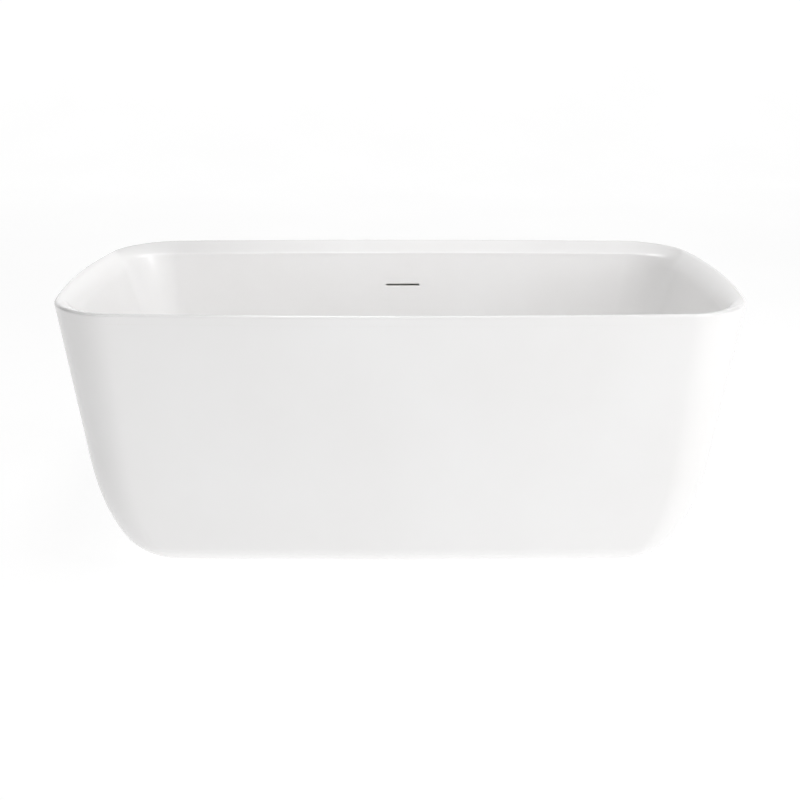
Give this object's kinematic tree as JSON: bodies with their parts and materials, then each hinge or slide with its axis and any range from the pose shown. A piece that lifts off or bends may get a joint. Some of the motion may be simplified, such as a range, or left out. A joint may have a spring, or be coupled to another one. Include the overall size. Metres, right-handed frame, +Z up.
{
  "type": "freestanding bathtub",
  "caption": "Freestanding white bathtub with sloping ends, inward-sloping rim, overflow slot, pop-up waste and screw-adjusted levelling feet.",
  "frame": {"origin": "on the floor under the middle of the tub", "axes": "+X along the length, +Y to the rear wall with the overflow, +Z up"},
  "size_m": [1.4984, 0.7498, 0.58],
  "materials": {
    "white_acrylic": "gloss",
    "bond_resin": "matt",
    "board_wood": "raw",
    "frame_steel": "galvanised",
    "zinc_steel": "zinc plated",
    "black_rubber": "matt",
    "chrome": "polished",
    "white_plastic": "satin",
    "grey_plastic": "satin",
    "foot_plastic": "satin"
  },
  "bodies": {
    "tub": {"inner_basin": "white_acrylic", "outer_skirt": "white_acrylic", "rim_bond_band": "bond_resin", "base_board": "board_wood", "frame_rail_front": "frame_steel", "frame_rail_rear": "frame_steel", "frame_cross_left": "frame_steel", "frame_cross_centre": "frame_steel", "frame_cross_right": "frame_steel", "foot_1_lock_nut": "zinc_steel", "foot_1_weld_nut": "frame_steel", "foot_2_lock_nut": "zinc_steel", "foot_2_weld_nut": "frame_steel", "foot_3_lock_nut": "zinc_steel", "foot_3_weld_nut": "frame_steel", "foot_4_lock_nut": "zinc_steel", "foot_4_weld_nut": "frame_steel", "foot_5_lock_nut": "zinc_steel", "foot_5_weld_nut": "frame_steel", "waste_gasket_upper": "black_rubber", "waste_gasket_lower": "black_rubber", "overflow_gasket": "black_rubber", "waste_flange": "chrome", "waste_latch": "white_plastic", "waste_tailpiece": "white_plastic", "overflow_housing": "white_plastic", "waste_shoe": "grey_plastic", "waste_side_inlet": "grey_plastic", "waste_tailpiece_nut": "grey_plastic", "overflow_hose": "grey_plastic", "overflow_clamp_upper": "zinc_steel", "overflow_clamp_lower": "zinc_steel"},
    "stopper": {"waste_stopper_cap": "chrome", "waste_stopper_seal": "black_rubber"},
    "foot_1_pad": {"foot_1_pad": "foot_plastic"},
    "foot_1_stud": {"foot_1_stud": "zinc_steel"},
    "foot_2_pad": {"foot_2_pad": "foot_plastic"},
    "foot_2_stud": {"foot_2_stud": "zinc_steel"},
    "foot_3_pad": {"foot_3_pad": "foot_plastic"},
    "foot_3_stud": {"foot_3_stud": "zinc_steel"},
    "foot_4_pad": {"foot_4_pad": "foot_plastic"},
    "foot_4_stud": {"foot_4_stud": "zinc_steel"},
    "foot_5_pad": {"foot_5_pad": "foot_plastic"},
    "foot_5_stud": {"foot_5_stud": "zinc_steel"}
  },
  "joints": [
    {"name": "stopper_lift", "type": "slide", "parent": "tub", "child": "stopper", "axis": [0, 0, 1], "range_m": [0, 0.008]},
    {"name": "foot_1_height", "type": "slide", "parent": "tub", "child": "foot_1_pad", "axis": [0, 0, -1], "range_m": [0, 0.02]},
    {"name": "foot_1_turn", "type": "hinge", "parent": "foot_1_pad", "child": "foot_1_stud", "pos_m": [-0.4, -0.23, 0.05], "axis": [0, 0, -1], "range_deg": [0, 4114.29]},
    {"name": "foot_2_height", "type": "slide", "parent": "tub", "child": "foot_2_pad", "axis": [0, 0, -1], "range_m": [0, 0.02]},
    {"name": "foot_2_turn", "type": "hinge", "parent": "foot_2_pad", "child": "foot_2_stud", "pos_m": [0.4, -0.23, 0.05], "axis": [0, 0, -1], "range_deg": [0, 4114.29]},
    {"name": "foot_3_height", "type": "slide", "parent": "tub", "child": "foot_3_pad", "axis": [0, 0, -1], "range_m": [0, 0.02]},
    {"name": "foot_3_turn", "type": "hinge", "parent": "foot_3_pad", "child": "foot_3_stud", "pos_m": [-0.4, 0.23, 0.05], "axis": [0, 0, -1], "range_deg": [0, 4114.29]},
    {"name": "foot_4_height", "type": "slide", "parent": "tub", "child": "foot_4_pad", "axis": [0, 0, -1], "range_m": [0, 0.02]},
    {"name": "foot_4_turn", "type": "hinge", "parent": "foot_4_pad", "child": "foot_4_stud", "pos_m": [0.4, 0.23, 0.05], "axis": [0, 0, -1], "range_deg": [0, 4114.29]},
    {"name": "foot_5_height", "type": "slide", "parent": "tub", "child": "foot_5_pad", "axis": [0, 0, -1], "range_m": [0, 0.02]},
    {"name": "foot_5_turn", "type": "hinge", "parent": "foot_5_pad", "child": "foot_5_stud", "pos_m": [-0.15, 0, 0.05], "axis": [0, 0, -1], "range_deg": [0, 4114.29]}
  ],
  "couplings": [
    {"joint": "foot_1_turn", "follows": "foot_1_height", "rad_per_m": 3590.4},
    {"joint": "foot_2_turn", "follows": "foot_2_height", "rad_per_m": 3590.4},
    {"joint": "foot_3_turn", "follows": "foot_3_height", "rad_per_m": 3590.4},
    {"joint": "foot_4_turn", "follows": "foot_4_height", "rad_per_m": 3590.4},
    {"joint": "foot_5_turn", "follows": "foot_5_height", "rad_per_m": 3590.4}
  ]
}
